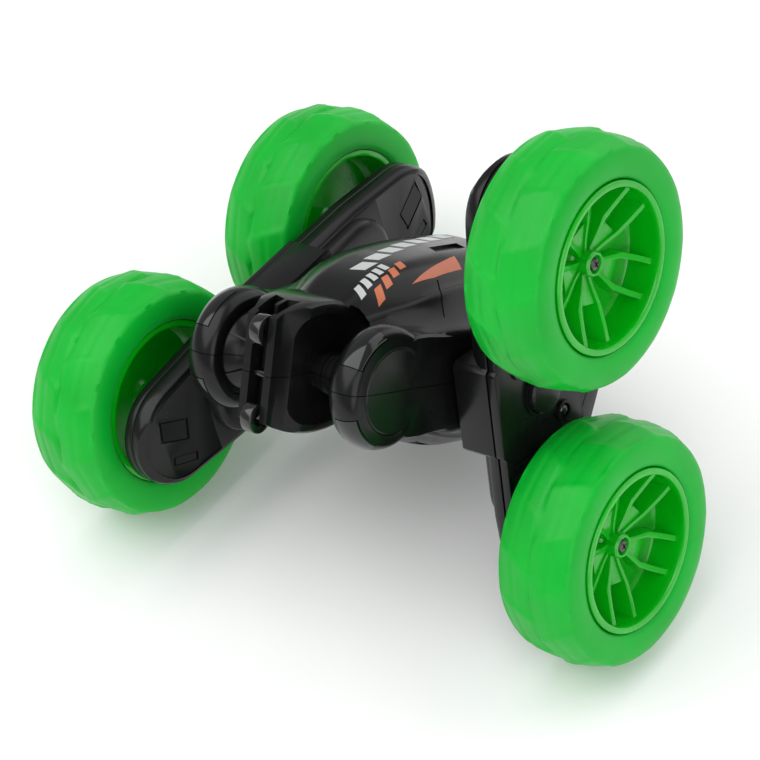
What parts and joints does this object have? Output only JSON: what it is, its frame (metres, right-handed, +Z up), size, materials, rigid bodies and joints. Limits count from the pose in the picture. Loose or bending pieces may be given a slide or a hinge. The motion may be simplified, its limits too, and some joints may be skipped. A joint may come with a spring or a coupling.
{
  "type": "rc stunt car",
  "caption": "Double-sided radio-controlled stunt car with two full-circle swinging wheel arms and bright green tyres, standing on three wheels.",
  "frame": {"origin": "on the floor, under the middle of the bounding box of the car as it stands on three wheels", "axes": "+Z up; +Y along the two wheels of the left arm, from the near wheel to the far one; +X across the car towards the right arm"},
  "size_m": [0.2032, 0.1786, 0.1718],
  "materials": {
    "black_casing": "satin moulded black plastic",
    "black_trim": "glossy black plastic",
    "lamp_window": "smoked glossy plastic",
    "tyre": "soft bright green rubber, faintly glossy",
    "rim": "translucent green moulded plastic",
    "axle_steel": "ground",
    "screw_steel": "plated",
    "pinion_brass": "machined",
    "gear_plastic": "natural nylon",
    "motor_can": "zinc plated",
    "circuit_board": "solder-masked board",
    "battery_wrap": "shrink wrap",
    "lamp_led": "clear epoxy"
  },
  "bodies": {
    "body": {"battery_door": "black_casing", "battery_door_screw": "screw_steel", "battery_pack": "battery_wrap", "circuit_board": "circuit_board", "lower_shell": "black_casing", "nose_bracket": "black_trim", "upper_shell": "black_casing", "left_headlamp_led": "lamp_led", "left_lower_lamp_window": "lamp_window", "left_upper_lamp_window": "lamp_window", "right_headlamp_led": "lamp_led", "right_lower_lamp_window": "lamp_window", "right_upper_lamp_window": "lamp_window"},
    "power_switch": {"power_switch": "black_trim"},
    "left_arm": {"left_arm_inner_cover": "black_casing", "left_arm_outer_cover": "black_casing", "left_motor": "motor_can", "left_contact_disc": "circuit_board", "left_cover_screw_1": "screw_steel", "left_cover_screw_2": "screw_steel"},
    "left_far_wheel": {"left_far_tyre": "tyre", "left_far_rim": "rim", "left_far_axle": "axle_steel", "left_far_hub_screw": "screw_steel", "left_far_wheel_gear": "gear_plastic"},
    "left_near_wheel": {"left_near_tyre": "tyre", "left_near_rim": "rim", "left_near_axle": "axle_steel", "left_near_hub_screw": "screw_steel", "left_near_wheel_gear": "gear_plastic"},
    "left_far_idler": {"left_far_idler_gear": "gear_plastic"},
    "left_far_double": {"left_far_double_gear": "gear_plastic"},
    "left_near_idler": {"left_near_idler_gear": "gear_plastic"},
    "left_near_double": {"left_near_double_gear": "gear_plastic"},
    "left_pinion": {"left_motor_pinion": "pinion_brass"},
    "right_arm": {"right_arm_inner_cover": "black_casing", "right_arm_outer_cover": "black_casing", "right_motor": "motor_can", "right_contact_disc": "circuit_board", "right_cover_screw_1": "screw_steel", "right_cover_screw_2": "screw_steel"},
    "right_far_wheel": {"right_far_tyre": "tyre", "right_far_rim": "rim", "right_far_axle": "axle_steel", "right_far_hub_screw": "screw_steel", "right_far_wheel_gear": "gear_plastic"},
    "right_near_wheel": {"right_near_tyre": "tyre", "right_near_rim": "rim", "right_near_axle": "axle_steel", "right_near_hub_screw": "screw_steel", "right_near_wheel_gear": "gear_plastic"},
    "right_far_idler": {"right_far_idler_gear": "gear_plastic"},
    "right_far_double": {"right_far_double_gear": "gear_plastic"},
    "right_near_idler": {"right_near_idler_gear": "gear_plastic"},
    "right_near_double": {"right_near_double_gear": "gear_plastic"},
    "right_pinion": {"right_motor_pinion": "pinion_brass"}
  },
  "joints": [
    {"name": "left_arm_swing", "type": "hinge", "parent": "body", "child": "left_arm", "pos_m": [-0.02659, 0, 0.05664], "axis": [0.9496, 0, 0.3136], "continuous": true},
    {"name": "left_far_wheel_spin", "type": "hinge", "parent": "left_arm", "child": "left_far_wheel", "pos_m": [-0.0773, 0.0494, 0.03989], "axis": [0.9496, 0, 0.3136], "continuous": true},
    {"name": "left_near_wheel_spin", "type": "hinge", "parent": "left_arm", "child": "left_near_wheel", "pos_m": [-0.0773, -0.0494, 0.03989], "axis": [0.9496, 0, 0.3136], "continuous": true},
    {"name": "left_far_idler_spin", "type": "hinge", "parent": "left_arm", "child": "left_far_idler", "pos_m": [-0.05603, 0.03055, 0.04692], "axis": [0.9496, 0, 0.3136], "continuous": true},
    {"name": "left_far_double_gear_spin", "type": "hinge", "parent": "left_arm", "child": "left_far_double", "pos_m": [-0.05508, 0.01885, 0.04723], "axis": [0.9496, 0, 0.3136], "continuous": true},
    {"name": "left_near_idler_spin", "type": "hinge", "parent": "left_arm", "child": "left_near_idler", "pos_m": [-0.05603, -0.03055, 0.04692], "axis": [0.9496, 0, 0.3136], "continuous": true},
    {"name": "left_near_double_gear_spin", "type": "hinge", "parent": "left_arm", "child": "left_near_double", "pos_m": [-0.05508, -0.01885, 0.04723], "axis": [0.9496, 0, 0.3136], "continuous": true},
    {"name": "left_pinion_spin", "type": "hinge", "parent": "left_arm", "child": "left_pinion", "pos_m": [-0.05356, 0, 0.04773], "axis": [0.9496, 0, 0.3136], "continuous": true},
    {"name": "right_arm_swing", "type": "hinge", "parent": "body", "child": "right_arm", "pos_m": [0.01139, 0, 0.06918], "axis": [0.9496, 0, 0.3136], "continuous": true},
    {"name": "right_far_wheel_spin", "type": "hinge", "parent": "right_arm", "child": "right_far_wheel", "pos_m": [0.0469, 0.00951, 0.13195], "axis": [0.9496, 0, 0.3136], "continuous": true},
    {"name": "right_near_wheel_spin", "type": "hinge", "parent": "right_arm", "child": "right_near_wheel", "pos_m": [0.0773, -0.00951, 0.03989], "axis": [0.9496, 0, 0.3136], "continuous": true},
    {"name": "right_far_idler_spin", "type": "hinge", "parent": "right_arm", "child": "right_far_idler", "pos_m": [0.03143, 0.00588, 0.10737], "axis": [0.9496, 0, 0.3136], "continuous": true},
    {"name": "right_far_double_gear_spin", "type": "hinge", "parent": "right_arm", "child": "right_far_double", "pos_m": [0.03408, 0.00363, 0.09615], "axis": [0.9496, 0, 0.3136], "continuous": true},
    {"name": "right_near_idler_spin", "type": "hinge", "parent": "right_arm", "child": "right_near_idler", "pos_m": [0.05023, -0.00588, 0.05043], "axis": [0.9496, 0, 0.3136], "continuous": true},
    {"name": "right_near_double_gear_spin", "type": "hinge", "parent": "right_arm", "child": "right_near_double", "pos_m": [0.04568, -0.00363, 0.06102], "axis": [0.9496, 0, 0.3136], "continuous": true},
    {"name": "right_pinion_spin", "type": "hinge", "parent": "right_arm", "child": "right_pinion", "pos_m": [0.03836, 0, 0.07809], "axis": [0.9496, 0, 0.3136], "continuous": true},
    {"name": "power_switch_slide", "type": "slide", "parent": "body", "child": "power_switch", "axis": [0.1638, 0.8526, -0.4961], "range_m": [0, 0.003]}
  ],
  "couplings": [
    {"joint": "left_near_wheel_spin", "follows": "left_far_wheel_spin", "ratio": 1},
    {"joint": "left_far_idler_spin", "follows": "left_far_wheel_spin", "ratio": -1.9},
    {"joint": "left_far_double_gear_spin", "follows": "left_far_wheel_spin", "ratio": 2.375},
    {"joint": "left_near_idler_spin", "follows": "left_far_wheel_spin", "ratio": -1.9},
    {"joint": "left_near_double_gear_spin", "follows": "left_far_wheel_spin", "ratio": 2.375},
    {"joint": "left_pinion_spin", "follows": "left_far_wheel_spin", "ratio": -7.4643},
    {"joint": "right_near_wheel_spin", "follows": "right_far_wheel_spin", "ratio": 1},
    {"joint": "right_far_idler_spin", "follows": "right_far_wheel_spin", "ratio": -1.9},
    {"joint": "right_far_double_gear_spin", "follows": "right_far_wheel_spin", "ratio": 2.375},
    {"joint": "right_near_idler_spin", "follows": "right_far_wheel_spin", "ratio": -1.9},
    {"joint": "right_near_double_gear_spin", "follows": "right_far_wheel_spin", "ratio": 2.375},
    {"joint": "right_pinion_spin", "follows": "right_far_wheel_spin", "ratio": -7.4643}
  ]
}
